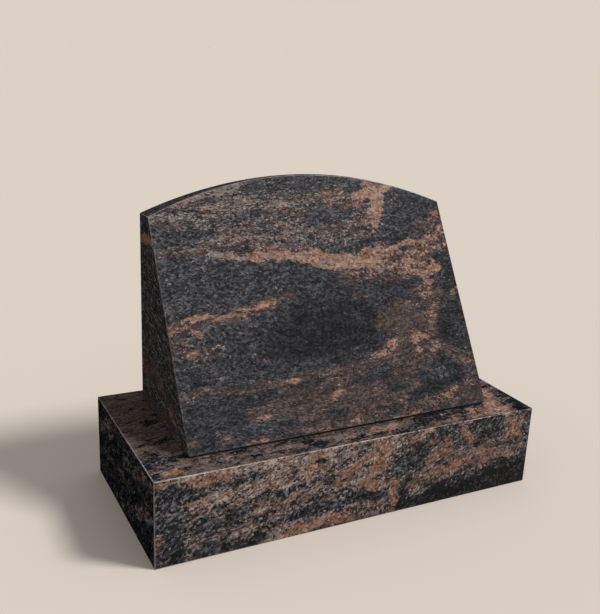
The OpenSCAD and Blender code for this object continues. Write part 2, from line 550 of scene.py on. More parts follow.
SLANT_ENDS = streaks(
    # Salmon pocket behind the shoulder, with brown under it
    (BROWN, (18, 347, 9, 56, 347, 9), 0.6),
    (SALMON, (6, 368, 8, 33, 372, 11, 76, 364, 9), 0.8, 0.4),
    (BROWN, (12, 236, 6, 26, 222, 8), 0.4),
    # Brown layers that come out at the foot
    (BROWN, (86, 74, 14, 142, 93, 22, 217, 88, 20), 0.9, 0.5),
    (BROWN, (36, 14, 12, 143, 14, 14, 250, 10, 8), 0.75),
    (BROWN, (44, 34, 12, 66, 44, 15, 100, 48, 9), 0.9),
    (SALMON, (54, 38, 7, 70, 44, 7), 0.7),
)

SLANT_FIGURE = Figure(
    front=Drawing(GREY, SLANT_FRONT),
    ends=Drawing(FLECKED, SLANT_ENDS),
    top=Drawing(MICA),
    rise_across=0.04,
    shift_back=0.4,
    dip_back=-0.25,
    seed=11,
)

BASE_FRONT = streaks(
    # Grey left end, and the pale top edge with its peach knots
    (GREY, (-400, 94, 30, -354, 84, 26, -352, 50, 22, -345, 20, 22), 0.78),
    (PALE, (-300, 98, 14, -220, 108, 24, -130, 116, 38, -40, 100, 34, 40, 122, 30), 0.36),
    (PALE, (-330, 148, 10, -220, 148, 10, -120, 148, 10), 0.45),
    (PALE, (14, 146, 14, 64, 146, 14, 90, 142, 8), 0.6),
    (GREY, (-400, 118, 24, -310, 124, 9, -250, 129, 8, -205, 138, 5), 0.85, 0.45),
    (PEACH, (-310, 140, 9, -288, 144, 10), 0.95),
    (PEACH, (-278, 145, 9, -256, 148, 9), 0.95),
    (PALE, (-320, 108, 4, -270, 107, 5, -225, 116, 6), 0.4),
    (SALMON, (-310, 108, 3, -303, 107, 4), 0.6),
    (BLACK, (-318, 113, 2.5, -312, 113, 2.5), 0.9, 0.3),
    (BLACK, (-297, 107, 2, -290, 106, 2.5), 0.9, 0.3),
    (SALMON, (-262, 108, 4, -248, 110, 4), 0.5),
    (PALE, (-230, 116, 8, -180, 124, 16, -140, 142, 16), 0.4),
    (SALMON, (-190, 108, 6, -175, 112, 7), 0.6),
    (PEACH, (-158, 138, 7, -135, 148, 8), 0.7),
    # Grey and dark layers of the left half
    (GREY, (-320, 59, 10, -260, 62, 13, -215, 78, 6), 0.65),
    (GREY, (-200, 90, 7, -130, 96, 6, -60, 98, 6), 0.55),
    (MICA, (-310, 10, 8, -290, 16, 10, -240, 10, 14, -190, 16, 8), 0.75),
    (PALE, (-250, 30, 7, -215, 40, 9), 0.45),
    (SALMON, (-322, 26, 4, -305, 28, 4), 0.6),
    (SALMON, (-140, 84, 4, -128, 86, 4), 0.6),
    (GREY, (-130, 44, 10, -60, 46, 13, -10, 48, 11, 36, 42, 9)),
    (GREY, (-200, 24, 5, -176, 27, 4), 0.7),
    (MICA, (98, 68, 12, 96, 30, 14), 0.9),
    (MICA, (-112, 40, 6, -82, 42, 8), 0.65),
    (MICA, (12, 44, 6, 42, 40, 7), 0.7),
    # Peach and salmon veins about the middle
    (PALE, (-125, 144, 11, -60, 146, 11), 0.8),
    (PEACH, (-103, 126, 9, -93, 140, 15, -82, 158, 16), 1.0),
    (BLACK, (-88, 134, 4, -80, 134, 4), 1.0, 0.2),
    (SALMON, (-60, 104, 4, -10, 108, 8, 15, 122, 10), 0.55),
    (PEACH, (8, 130, 9, 32, 108, 16), 0.8),
    (SALMON, (26, 98, 14, 16, 76, 15), 0.7),
    (PALE, (10, 92, 6, 22, 82, 6), 0.6),
    (SALMON, (-52, 88, 6, -14, 92, 6), 0.45),
    (PEACH, (34, 146, 14, 50, 128, 12)),
    # Grey and salmon patches that run down from the top edge at the right
    (GREY, (62, 120, 8, 75, 80, 18, 85, 105, 14), 0.75),
    (BLACK, (100, 108, 16, 120, 118, 20, 132, 98, 12), 0.35, 0.35),
    (PEACH, (106, 140, 6, 116, 145, 7, 130, 142, 7)),
    (PALE, (118, 142, 3, 128, 142, 3), 0.7),
    (GREY, (150, 148, 10, 165, 138, 10, 195, 150, 8), 0.75),
    (SALMON, (178, 90, 6, 178, 112, 6, 182, 128, 4), 0.6),
    (SALMON, (136, 90, 5, 164, 96, 7), 0.55),
    (SALMON, (214, 150, 4, 222, 128, 7, 228, 112, 5), 0.5),
    (MICA, (255, 112, 12, 270, 126, 18, 292, 140, 16), 0.7),
    (GREY, (200, 128, 10, 205, 105, 8), 0.6),
    (GREY, (244, 146, 12, 300, 146, 12), 0.6),
    # Brown layer with its salmon veins, over the long black lens
    (BROWN, (104, 54, 8, 130, 62, 13, 200, 76, 20, 280, 82, 20, 350, 78, 16)),
    (SALMON, (100, 42, 6, 120, 48, 5), 0.7),
    (SALMON, (148, 60, 6, 185, 68, 7, 205, 74, 10, 235, 76, 10), 0.8),
    (SALMON, (255, 92, 7, 300, 86, 8, 335, 68, 7), 0.5),
    (SALMON, (262, 66, 5, 302, 70, 6), 0.6),
    (SALMON, (62, 70, 5, 68, 40, 10, 78, 18, 7), 0.75),
    (BLACK, (88, 8, 10, 140, 12, 22, 210, 12, 27, 300, 12, 29, 345, 17, 33, 400, 20, 38), 0.97, 0.4),
    (GREY, (160, 36, 5, 220, 40, 6, 300, 44, 7, 390, 54, 9), 0.5),
    (MICA, (-390, 12, 12, -340, 12, 10), 0.8),
    # Right edge, and the salmon vein along the foot
    (SALMON, (322, 150, 7, 338, 128, 10, 356, 108, 7), 0.8),
    (GREY, (378, 140, 10, 385, 90, 18), 0.8),
    (SALMON, (-192, 0, 4, -150, 5, 8, -104, 16, 13, -60, 18, 12, -20, 6, 6), 0.85, 0.45),
    (BROWN, (-20, 26, 8, 10, 8, 8, 40, 4, 6), 0.7),
)

BASE_ENDS = streaks(
    # Brown layers that fall away from the right edge
    (BROWN, (-10, 142, 10, 60, 136, 16, 120, 116, 14, 175, 104, 10), 0.6),
    (BROWN, (225, 152, 8, 262, 134, 18, 325, 114, 12), 0.6),
    (BROWN, (10, 84, 8, 50, 70, 11, 90, 50, 9, 122, 40, 7), 0.55),
    (BROWN, (175, 82, 6, 250, 74, 8, 284, 62, 6), 0.45),
    (BROWN, (186, 32, 8, 232, 14, 8), 0.5),
    (BROWN, (288, 42, 6, 318, 32, 6), 0.55),
)

BASE_TOP = streaks(
    # Left ledge: an even brown layer, dark grey in front of it
    (UMBER, (-345, 340, 90, -345, 120, 70), 0.9, 0.15),
    (MICA, (-400, 60, 18, -310, 64, 14), 0.9),
    # Front ledge: its umber band is partly painted shade, which darkens the top next to the front
    (UMBER, (-320, 24, 40, 250, 24, 40), 0.6, 0.15),
    (BLACK, (-200, 22, 6, -160, 16, 5, -110, 10, 6), 0.5),
    (SALMON, (-354, 17, 8, -330, 19, 9), 0.8),
    (ROSY, (-284, 29, 6, -242, 29, 6), 0.6),
    (MICA, (-390, 22, 12, -373, 20, 8), 0.9),
    (ROSY, (-136, 26, 5, -112, 27, 6), 0.7),
    (DUSK, (-94, 30, 12, -80, 22, 13), 0.9),
    (MICA, (4, 11, 6, 60, 12, 6), 0.25),
    (MIXED, (8, 30, 8, 54, 30, 8), 0.9),
    (SALMON, (20, 32, 4, 42, 29, 5), 0.6),
    (SALMON, (-26, 22, 5, -8, 22, 5), 0.6),
    (SALMON, (54, 25, 5, 72, 30, 7, 86, 38, 6), 0.7),
    (MICA, (75, 12, 9, 105, 14, 12, 135, 22, 16, 150, 38, 14, 198, 40, 16), 0.95),
    (ROSY, (168, 12, 7, 204, 12, 8), 0.65),
    (ROSY, (240, 12, 7, 280, 12, 8), 0.8),
    (GREY, (246, 34, 7, 256, 28, 7), 0.7),
    (SALMON, (262, 36, 13, 300, 26, 20, 330, 22, 18), 0.65),
    # Right ledge: the salmon band runs back, with a dark one outside it
    (BROWN, (300, 90, 30, 345, 170, 40, 360, 300, 40), 0.7),
    (SALMON, (318, 60, 16, 328, 96, 18, 342, 140, 12), 0.75),
    (BLACK, (370, 0, 14, 376, 40, 16, 384, 90, 10), 0.75),
)

BASE_FIGURE = Figure(
    front=Drawing(MIXED, BASE_FRONT),
    ends=Drawing(MICA, BASE_ENDS),
    # The top's dun ground is darker than the front's: the stone's own bands, and painted shade on the top
    top=Drawing(DUN, BASE_TOP),
    rise_across=0.22,
    shift_back=0.2,
    dip_back=0.40,
    seed=29,
)


# How far the crystals' edges sway, in crystals, and how many sways a crystal is wide
SWAY = 1.2
SWAY_SCALE = 0.35

# Share of the fine crystals in each random number
FINE_SHARE = 0.35

# Factors on the lengths along, over and back that draw out the clumps, and how strongly
# clumps pull a crystal's lot, its shade and its lot as a pale grain
CLUMP_DRAW = (0.4, 1.0, 0.5)
CLUMP_PULLS = (1.3, 0.7, 0.7)

# Ranges that are spread over 0 to 1: of the noise that makes clumps, of the mixed random
# numbers, and of the margin by which a mineral wins a crystal
CLOUD_RANGE = (0.32, 0.68)
LOT_RANGE = (0.12, 0.88)
MARGIN_RANGE = (-0.04, 0.06)

# How many fine streaks a millimetre holds along, over and back, and their share in how
# light a grain is
STREAK_FINENESS = (0.014, 0.11, 0.05)
STREAK_SHARE = 0.2

# How strongly the streaks gather brown, salmon and pale grains
BROWN_GAIN = 2.4
SALMON_GAIN = 1.2
PALE_GAIN = 2.0

# How far mica darkens every grain in it, how much of the edge's colour, which is wear with a painted
# highlight, shows on the darkest grains of an arris, and how much more on the lightest
MICA_STAIN = 0.4
EDGE_WEAR_AND_SHEEN = 0.4
EDGE_WEAR_AND_SHEEN_GAIN = 0.7


@dataclass(frozen=True)
class PolishedGneiss:
    """Migmatite gneiss, sawn, ground and polished: a dark gloss in which crystals show.

    The grains are crystals of biotite, grey plagioclase, brown and salmon feldspar, drawn
    as Voronoi cells of two sizes that are longer along the bands. Which mineral a cell
    holds is drawn by lot against the bands' shares, so one band gives way to the next
    grain by grain. Quartz and feldspar have an IOR near 1.54. It is lowered, because the
    real polish mirrors a pale room only faintly. Honed faces are matt.

    Attributes:
        name: Name of the finish.
        grain: Width of the coarse crystals.
        stretch: How many times longer a crystal is along the bands.
        fine_ratio: Width of the fine crystals over that of the coarse ones.
        clump: Width of the clumps in which like crystals gather.
        clumping: How strongly they gather, from 0 to 1.
        contrast: How strongly the crystals differ in brightness.
        roughness: Roughness of the polished faces.
        ior: Index of refraction.
        grey: Shades of the grey layers, from biotite to quartz.
        black: Shades of the mica-rich lenses.
        brown: Shades of the brown feldspar layers.
        salmon: Shades of the salmon veins.
        pale: Shades of the pale quartz and feldspar grains.
        edge: Colour of the eased arris: paler as it is polished less than the faces, and lighter still as a
            painted highlight.
    """

    name: str
    grain: float
    stretch: float = 1.4
    fine_ratio: float = 0.5
    clump: float = 12.0
    clumping: float = 0.4
    contrast: float = 1.3
    roughness: float = 0.10
    ior: float = 1.20
    grey: Stops = (
        (0.0, "#1a1b1e"), (0.30, "#2b2c2f"), (0.55, "#434346"), (0.80, "#636264"), (1.0, "#959190"),
    )
    black: Stops = (
        (0.0, "#17181a"), (0.40, "#2d2d30"), (0.75, "#48484b"), (1.0, "#747376"),
    )
    brown: Stops = (
        (0.0, "#211c1b"), (0.25, "#372f2d"), (0.55, "#554844"), (0.80, "#766862"), (1.0, "#a3948d"),
    )
    salmon: Stops = (
        (0.0, "#42322a"), (0.25, "#705445"), (0.55, "#9c7867"), (0.85, "#be9e8d"), (1.0, "#dfcdc3"),
    )
    pale: Stops = ((0.0, "#5e5755"), (0.5, "#877d79"), (1.0, "#b3a9a3"))
    # Painted highlight on the arrises, over their real wear
    edge: str = "#d4c8c0"

    def crystals(self, tree: bpy.types.NodeTree, bedding: bpy.types.NodeSocket) -> list[bpy.types.Node]:
        """Random numbers of the crystals: cells of two sizes, swayed by clumps.

        Args:
            tree: Node tree of the material.
            bedding: Coordinates that follow the bands.

        Returns:
            Three nodes that give a crystal's lot, its shade and its lot as a pale grain,
            from 0 to 1.
        """
        node = partial(add_node, tree)
        wobble = node("TexNoise", {"Vector": bedding, "Scale": SWAY_SCALE / self.grain, "Detail": 2.0})
        bent = node(
            "VectorMath",
            {"Vector": wobble.outputs["Color"], "Vector1": (self.grain * SWAY,) * 3, "Vector2": bedding},
            operation="MULTIPLY_ADD",
        )
        cells = []
        for size in (self.grain, self.grain * self.fine_ratio):
            shrink = (1 / (size * self.stretch), 1 / size, 1 / (size * self.stretch))
            place = node("VectorMath", {"Vector": bent, "Vector1": shrink}, operation="MULTIPLY")
            cell = node("TexVoronoi", {"Vector": place, "Scale": 1.0})
            cells.append(node("SeparateColor", {"Color": cell.outputs["Color"]}).outputs)
        shrink = tuple(factor / self.clump for factor in CLUMP_DRAW)
        place = node("VectorMath", {"Vector": bedding, "Vector1": shrink}, operation="MULTIPLY")
        cloud = node("TexNoise", {"Vector": place, "Scale": 1.0, "Detail": 5.0, "Roughness": 0.65})
        clouds = node("SeparateColor", {"Color": cloud.outputs["Color"]}).outputs
        cloud_low, cloud_high = CLOUD_RANGE
        low, high = LOT_RANGE
        numbers = []
        for channel, pull in enumerate(CLUMP_PULLS):
            cell = node("Mix", {"Factor": FINE_SHARE, "A": cells[0][channel], "B": cells[1][channel]})
            gathered = node(
                "MapRange", {"Value": clouds[channel], "From Min": cloud_low, "From Max": cloud_high}
            )
            both = node("Mix", {"Factor": pull * self.clumping, "A": cell, "B": gathered})
            numbers.append(node("MapRange", {"Value": both, "From Min": low, "From Max": high}))
        return numbers

    def drawn(
        self,
        tree: bpy.types.NodeTree,
        share: bpy.types.NodeSocket,
        streaks: bpy.types.Node,
        lot: bpy.types.Node,
        gain: float,
    ) -> bpy.types.Node:
        """1 in the cells that a mineral wins by lot and 0 in the others.

        Args:
            tree: Node tree of the material.
            share: The mineral's share of the grains there.
            streaks: Noise that gathers the mineral into fine streaks.
            lot: The cell's random number.
            gain: How strongly the streaks move the share.

        Returns:
            The node that gives the result.
        """
        node = partial(add_node, tree)
        gathered = node(
            "Math", {"Value": streaks, "Value1": gain, "Value2": 1 - 0.5 * gain}, operation="MULTIPLY_ADD"
        )
        chance = node("Math", {"Value": share, "Value1": gathered}, operation="MULTIPLY")
        margin = node("Math", {"Value": chance, "Value1": lot}, operation="SUBTRACT")
        low, high = MARGIN_RANGE
        return node("MapRange", {"Value": margin, "From Min": low, "From Max": high})

    def material(self) -> bpy.types.Material:
        """Build the node material, which reads the stone's own attributes.

        Returns:
            The material.
        """
        material, tree = new_material(self.name)
        node = partial(add_node, tree)
        bedding, bands, arris, honed = (
            node("Attribute", attribute_name=name) for name in ("bedding", "bands", "arris", "honed")
        )
        share = node("SeparateColor", {"Color": bands.outputs["Color"]}).outputs
        lot, shade, pale_lot = self.crystals(tree, bedding.outputs["Vector"])
        place = node(
            "VectorMath",
            {"Vector": bedding.outputs["Vector"], "Vector1": STREAK_FINENESS},
            operation="MULTIPLY",
        )
        streaks = node("TexNoise", {"Vector": place, "Scale": 1.0, "Detail": 4.0, "Roughness": 0.65})
        half = 0.5 / self.contrast
        light = node("MapRange", {"Value": shade, "From Min": 0.5 - half, "From Max": 0.5 + half})
        light = node("Mix", {"Factor": STREAK_SHARE, "A": light, "B": streaks})
        # Where mica is evenly mixed with brown feldspar the grain is quiet, with streaks alone
        quiet = node("Math", {"Value": share["Green"], "Value1": share["Blue"]}, operation="MULTIPLY")
        light = node("Mix", {"Factor": quiet, "A": light, "B": streaks})
        grey, black, brown, salmon, pale = (
            node("ValToRGB", {"Fac": light}, stops=stops)
            for stops in (self.grey, self.black, self.brown, self.salmon, self.pale)
        )
        stain = node("Math", {"Value": share["Blue"], "Value1": MICA_STAIN}, operation="MULTIPLY")
        # Arrises: paler where worn, with a painted highlight along them
        cover = node(
            "Math",
            {"Value": light, "Value1": EDGE_WEAR_AND_SHEEN_GAIN, "Value2": EDGE_WEAR_AND_SHEEN},
            operation="MULTIPLY_ADD",
        )
        worn_and_sheen = node("Math", {"Value": arris.outputs["Fac"], "Value1": cover}, operation="MULTIPLY")
        colour = grey
        for factor, over in (
            (share["Blue"], black),
            (self.drawn(tree, share["Green"], streaks, lot, BROWN_GAIN), brown),
            (self.drawn(tree, share["Red"], streaks, lot, SALMON_GAIN), salmon),
            (self.drawn(tree, bands.outputs["Alpha"], streaks, pale_lot, PALE_GAIN), pale),
            (stain, linear_colour(self.black[0][1])),
            (worn_and_sheen, linear_colour(self.edge)),
        ):
            colour = node("Mix", {"Factor": factor, "A": colour, "B": over}, data_type="RGBA")
        gloss = node("BsdfPrincipled", {"Base Color": colour, "Roughness": self.roughness, "IOR": self.ior})
        matt = node("BsdfDiffuse", {"Color": colour})
        shader = node("MixShader", {"Fac": honed.outputs["Fac"], "Shader": gloss, "Shader1": matt})
        node("OutputMaterial", {"Surface": shader})
        return material


FINE_GNEISS = PolishedGneiss("polished_gneiss_fine", 2.7, stretch=1.9, contrast=0.92, clumping=0.36)

# The base's block is coarser, with clots of mica among brighter feldspar
COARSE_GNEISS = PolishedGneiss(
    "polished_gneiss_coarse",
    3.6,
    stretch=1.25,
    clump=14.0,
    clumping=0.45,
    contrast=1.6,
    grey=((0.0, "#0e1013"), (0.30, "#1f2125"), (0.60, "#3d4046"), (0.82, "#6a686b"), (1.0, "#a79f9c")),
    black=((0.0, "#0a0a0b"), (0.40, "#151517"), (0.75, "#2b2d32"), (1.0, "#6c6c6e")),
    brown=((0.0, "#1a1715"), (0.25, "#3e3532"), (0.50, "#685953"), (0.75, "#8e7c75"), (1.0, "#c3b4ad")),
    salmon=((0.0, "#3a2920"), (0.20, "#6b4d3d"), (0.50, "#926d5a"), (0.80, "#ab8471"), (1.0, "#d2b9ac")),
    pale=((0.0, "#695b56"), (0.5, "#a49086"), (1.0, "#e1d1c6")),
)


def face_lattice(counts: tuple[int, int, int]) -> tuple[NDArray[np.int64], NDArray[np.int64]]:
    """Lay a grid over the six faces of a box and share the points on its edges.

    Args:
        counts: How many grid lines run along X, Y and Z.

    Returns:
        The grid place of each point, three whole numbers a row, and the quads, four
        points a row, which turn anticlockwise as seen from outside.
    """
    quads = []
    for axis in range(3):
        second, third = (axis + 1) % 3, (axis + 2) % 3
        i, j = np.meshgrid(np.arange(counts[second] - 1), np.arange(counts[third] - 1), indexing="ij")
        for place, turn in ((0, -1), (counts[axis] - 1, 1)):
            ring = [(i, j), (i + 1, j), (i + 1, j + 1), (i, j + 1)][::turn]
            corners = []
            for a, b in ring:
                grid = [None, None, None]
                grid[axis], grid[second], grid[third] = np.full(a.shape, place), a, b
                corners.append(grid[0] + counts[0] * (grid[1] + counts[1] * grid[2]))
            quads.append(np.stack(corners, axis=-1).reshape(-1, 4))
    keys, faces = np.unique(np.concatenate(quads), return_inverse=True)
    places = np.column_stack([
        keys % counts[0], (keys // counts[0]) % counts[1], keys // (counts[0] * counts[1]),
    ])
    return places, faces.reshape(-1, 4)


@dataclass
class CutStone:
    """A sawn and polished stone with eased arrises, as a grid over its six faces.

    The grid is laid over a core that lies one arris inside the stone. Each point is
    pushed out from the core by the arris along the mean of the faces that it serves, so
    that flat faces stay flat and the edges between them are round.

    Attributes:
        name: Name of the piece.
        node: CAD node that it stands for.
        figure: Bands of the stone.
        finish: What the stone is and how it is polished.
        arris: Radius of the eased edges.
        spacing: Distance between grid lines.
        easing_lines: Grid lines over half of a rounded edge.
        nick_depth: Depth of the small nicks along the edges.
        wear_and_sheen: How pale the edges are on the mean, from 0 to 1: rubbed, and lit by a painted
            highlight.
        wear_and_sheen_seed: Number that picks where they are paler and where less.
    """

    name: str
    node: str
    figure: Figure
    finish: PolishedGneiss
    arris: float = 2.4
    spacing: float = 4.0
    easing_lines: int = 3
    nick_depth: float = 0.7
    wear_and_sheen: float = 0.5
    wear_and_sheen_seed: int = 3274

    def __post_init__(self) -> None:
        """Read the stone's box from the frame."""
        self.low, self.high = (np.array(corner) * MM_PER_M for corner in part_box(self.node))

    def lines(self, length: float) -> tuple[Array, Array]:
        """Grid lines along one side of the core.

        Args:
            length: Length of the side.

        Returns:
            Where each line lies on the core, from -1 to 1, and how far round the edge it
            is, from -1 at one end to 1 at the other and 0 on the flat.
        """
        steps = max(int(round(length / self.spacing)), 2)
        flat = np.linspace(-1.0, 1.0, steps + 1)
        turn = np.arange(1, self.easing_lines + 1) / self.easing_lines
        core = np.concatenate([np.full(len(turn), -1.0), flat, np.full(len(turn), 1.0)])
        ease = np.concatenate([-turn[::-1], np.zeros(len(flat)), turn])
        return core, ease

    def core_point(self, core: Array) -> Array:
        """Points of the core for places from -1 to 1 on its three sides."""
        half = (self.high - self.low) / 2 - self.arris
        return (self.high + self.low) / 2 + core * half

    def side_normals(self, core: Array, ease: Array) -> list[Array]:
        """Outward normals of the end, of the front or back, and of the top or foot."""
        return [np.sign(ease) * (np.arange(3) == axis) for axis in range(3)]

    def face_place(self, point: Array) -> tuple[Array, Array, Array]:
        """Across, up and depth behind the front face of each point."""
        return point[:, 0], point[:, 2] - self.low[2], point[:, 1] - self.low[1]

    def honed_share(self, normal: Array) -> Array:
        """1 on the two ends, which are honed without a gloss, and 0 on polished faces."""
        return smooth_step(*END_TURN, np.abs(normal[:, 0]))

    def surface(self) -> tuple[Array, Array, Array, NDArray[np.int64]]:
        """Push the grid out from the core, and press small nicks into the edges.

        Returns:
            Points and normals, how far round an edge each point is, from 0 to 1, and quads.
        """
        core_lines, ease_lines = zip(*(self.lines(side) for side in self.high - self.low))
        places, quads = face_lattice(tuple(len(line) for line in core_lines))
        core = np.column_stack([core_lines[axis][places[:, axis]] for axis in range(3)])
        ease = np.column_stack([ease_lines[axis][places[:, axis]] for axis in range(3)])
        sides = self.side_normals(core, ease)
        normal = sum(np.abs(ease[:, [axis]]) * side for axis, side in enumerate(sides))
        normal /= np.linalg.norm(normal, axis=1, keepdims=True)
        point = self.core_point(core) + self.arris * normal
        edge = np.sort(np.abs(ease), axis=1)[:, 1]
        nick = np.clip(NICKS.at(point, self.figure.seed) - NICK_FLOOR, 0.0, 1.0) * edge
        point = np.clip(point - normal * (self.nick_depth * nick)[:, None], self.low, self.high)
        return point, normal, edge, quads

    def build(self) -> bpy.types.Object:
        """Make the stone's mesh, with its normals, pattern attributes and finish.

        Returns:
            The finished object, at the origin, which replaces the CAD node.
        """
        point, normal, edge, quads = self.surface()
        mesh = bpy.data.meshes.new(self.name)
        mesh.from_pydata(np.ascontiguousarray(point * MM), [], quads.tolist())
        mesh.shade_smooth()
        mesh.normals_split_custom_set_from_vertices(normal.tolist())
        place = self.face_place(point)
        # Paleness of each arris: wear, and a painted highlight
        wear_and_sheen = np.clip(self.wear_and_sheen + WEAR_AND_SHEEN.at(point, self.wear_and_sheen_seed), 0.0, 1.0)
        for name, kind, key, values in (
            ("bands", "FLOAT_COLOR", "color", self.figure.shares(*place, normal)),
            ("bedding", "FLOAT_VECTOR", "vector", self.figure.bedding(*place)),
            ("arris", "FLOAT", "value", edge * wear_and_sheen),
            ("honed", "FLOAT", "value", self.honed_share(normal)),
        ):
            mesh.attributes.new(name, kind, "POINT").data.foreach_set(key, values.ravel())
        mesh.materials.append(self.finish.material())
        piece = new_object(self.name, mesh)
        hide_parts(self.node)
        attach(piece, "root")
        return piece


@dataclass
class SlantStone(CutStone):
    """The wedge with its leaning inscription face and its arched top that falls back.

    Its three sizes are those of the CAD source.

    Attributes:
        shoulder_h: Height of the shoulders above the foot.
        arch_rise: Rise of the arch over the shoulders, square to the cut.
        top_fall: Fall of the top towards the back, in degrees.
    """

    shoulder_h: float = 358.0
    arch_rise: float = 60.0
    top_fall: float = 2.5

    def __post_init__(self) -> None:
        """Read the inscription face's plane from its mount, and set out the arch."""
        super().__post_init__()
        mount = next(m for m in frame["record"]["mounts"] if m["name"] == "inscription_face")
        self.face_normal = np.array(mount["axis"][1:])
        self.face_offset = float(self.face_normal @ (np.array(mount["pos_m"][1:]) * MM_PER_M))
        fall = math.radians(self.top_fall)
        self.top_normal = np.array([math.sin(fall), math.cos(fall)])
        shoulder_z = self.low[2] + self.shoulder_h
        shoulder_y = (self.face_offset - self.face_normal[1] * shoulder_z) / self.face_normal[0]
        half_width = (self.high[0] - self.low[0]) / 2
        self.core_half = half_width - self.arris
        self.arch_radius = (half_width**2 + self.arch_rise**2) / (2 * self.arch_rise)
        crown = float(self.top_normal @ (shoulder_y, shoulder_z)) + self.arch_rise
        self.arch_centre = crown - self.arch_radius

    def core_point(self, core: Array) -> Array:
        """Points of the core, one arris inside the wedge.

        Across, a place is a share of the width. There the wedge's section is a
        quadrilateral, whose two top corners lie where the line of the falling arch meets
        the leaning face and the back. A place up and back is the mean of the four
        corners, weighted by its shares of the two ways.

        Args:
            core: Places from -1 to 1 across, back and up.

        Returns:
            The points.
        """
        x = core[:, 0] * self.core_half
        top = self.arch_centre + np.sqrt((self.arch_radius - self.arris) ** 2 - x**2)
        lean_y, lean_z = self.face_normal
        fall_y, fall_z = self.top_normal
        offset = self.face_offset - self.arris
        foot_z = np.full(len(x), self.low[2] + self.arris)
        back_y = np.full(len(x), self.high[1] - self.arris)
        foot_front_y = (offset - lean_z * foot_z) / lean_y
        cross = lean_y * fall_z - lean_z * fall_y
        top_front_y = (offset * fall_z - lean_z * top) / cross
        top_front_z = (lean_y * top - offset * fall_y) / cross
        top_back_z = (top - fall_y * back_y) / fall_z
        back, up = (core[:, 1] + 1) / 2, (core[:, 2] + 1) / 2
        foot_y = (1 - back) * foot_front_y + back * back_y
        top_y = (1 - back) * top_front_y + back * back_y
        top_z = (1 - back) * top_front_z + back * top_back_z
        return np.column_stack([x, (1 - up) * foot_y + up * top_y, (1 - up) * foot_z + up * top_z])

    def side_normals(self, core: Array, ease: Array) -> list[Array]:
        """Normals of the wedge: the front leans, and the top turns with the arch.

        Args:
            core: Places from -1 to 1 across, back and up.
            ease: How far round the edges the points are, from -1 to 1, the same three ways.

        Returns:
            Normals of the end, of the front or back, and of the top or foot.
        """
        side, front, top = super().side_normals(core, ease)
        front[ease[:, 1] < 0, 1:] = self.face_normal
        is_top = ease[:, 2] > 0
        sine = core[is_top, 0] * self.core_half / (self.arch_radius - self.arris)
        top[is_top] = np.column_stack([sine, np.outer(np.sqrt(1 - sine**2), self.top_normal)])
        return [side, front, top]

    def honed_share(self, normal: Array) -> Array:
        """The arched top is honed as the ends are."""
        return np.maximum(super().honed_share(normal), smooth_step(*TOP_TURN, normal[:, 2]))

    def face_place(self, point: Array) -> tuple[Array, Array, Array]:
        """Across, up the slope and depth behind the leaning face of each point."""
        face_y = (self.face_offset - self.face_normal[1] * point[:, 2]) / self.face_normal[0]
        return point[:, 0], (point[:, 2] - self.low[2]) / abs(self.face_normal[0]), point[:, 1] - face_y


@dataclass(frozen=True)
class PlainFinish:
    """A matt or satin finish of one stuff, mottled by fine noise.

    Attributes:
        name: Name of the finish.
        dark: Colour of its darker spots.
        light: Colour of its lighter spots.
        spot: Width of the spots.
        roughness: Roughness of the surface.
        metallic: 1 for a metal, 0 for the rest.
        ior: Index of refraction, kept at the default for a metal.
        stretch: How many times longer the spots are upwards, as on drawn bar.
        bump: Height of the surface's relief.
    """

    name: str
    dark: str
    light: str
    spot: float
    roughness: float
    metallic: float = 0.0
    ior: float = 1.5
    stretch: float = 1.0
    bump: float = 0.0

    def material(self) -> bpy.types.Material:
        """Build the node material on Object coordinates.

        Returns:
            The material.
        """
        material, tree = new_material(self.name)
        node = partial(add_node, tree)
        spots_per_m = MM_PER_M / self.spot
        place = node(
            "VectorMath",
            {
                "Vector": node("TexCoord").outputs["Object"],
                "Vector1": (spots_per_m, spots_per_m, spots_per_m / self.stretch),
            },
            operation="MULTIPLY",
        )
        spots = node("TexNoise", {"Vector": place, "Scale": 1.0, "Detail": 4.0})
        shader_inputs = {
            "Base Color": node("ValToRGB", {"Fac": spots}, stops=((0.3, self.dark), (0.7, self.light))),
            "Metallic": self.metallic,
            "Roughness": self.roughness,
            "IOR": self.ior,
        }
        if self.bump:
            shader_inputs["Normal"] = node("Bump", {"Height": spots, "Distance": self.bump * MM})
        node("OutputMaterial", {"Surface": node("BsdfPrincipled", shader_inputs)})
        return material


@dataclass
class SettingBed:
    """The compound, dowels, resin and spacers between the stones, kept as CAD nodes.

    Attributes:
        compound: Setting compound, a sand-filled sealant: grey-black, matt and gritty.
        steel: Drawn stainless bar with fine marks along it.
        resin: Cream anchor resin, smooth where it ran.
        plastic: Moulded black polypropylene of the spacers.
    """

    compound: PlainFinish = PlainFinish("setting_compound", "#141312", "#2c2927", 1.2, 0.9, bump=0.4)
    steel: PlainFinish = PlainFinish("drawn_stainless", "#9a9d9f", "#c3c5c6", 0.4, 0.32, 1.0, 1.5, 40.0)
    resin: PlainFinish = PlainFinish("anchor_resin", "#b9ae87", "#d6cda9", 3.0, 0.4, ior=1.55)
    plastic: PlainFinish = PlainFinish("black_polypropylene", "#101214", "#1d2023", 0.8, 0.5, ior=1.49)

    def dress(self) -> None:
        """Give each CAD node of the bed its finish."""
        finishes = {
            "bed_joint": self.compound.material(),
            "dowel_resin": self.resin.material(),
            "dowel": self.steel.material(),
            "spacer": self.plastic.material(),
        }
        for node in frame["nodes"]:
            kind = next((k for k in finishes if node.startswith(k)), None)
            if kind is None:
                continue
            for slot in bpy.data.objects[node].material_slots:
                slot.material = finishes[kind]
            LOG.info("%s: %s", node, finishes[kind].name)


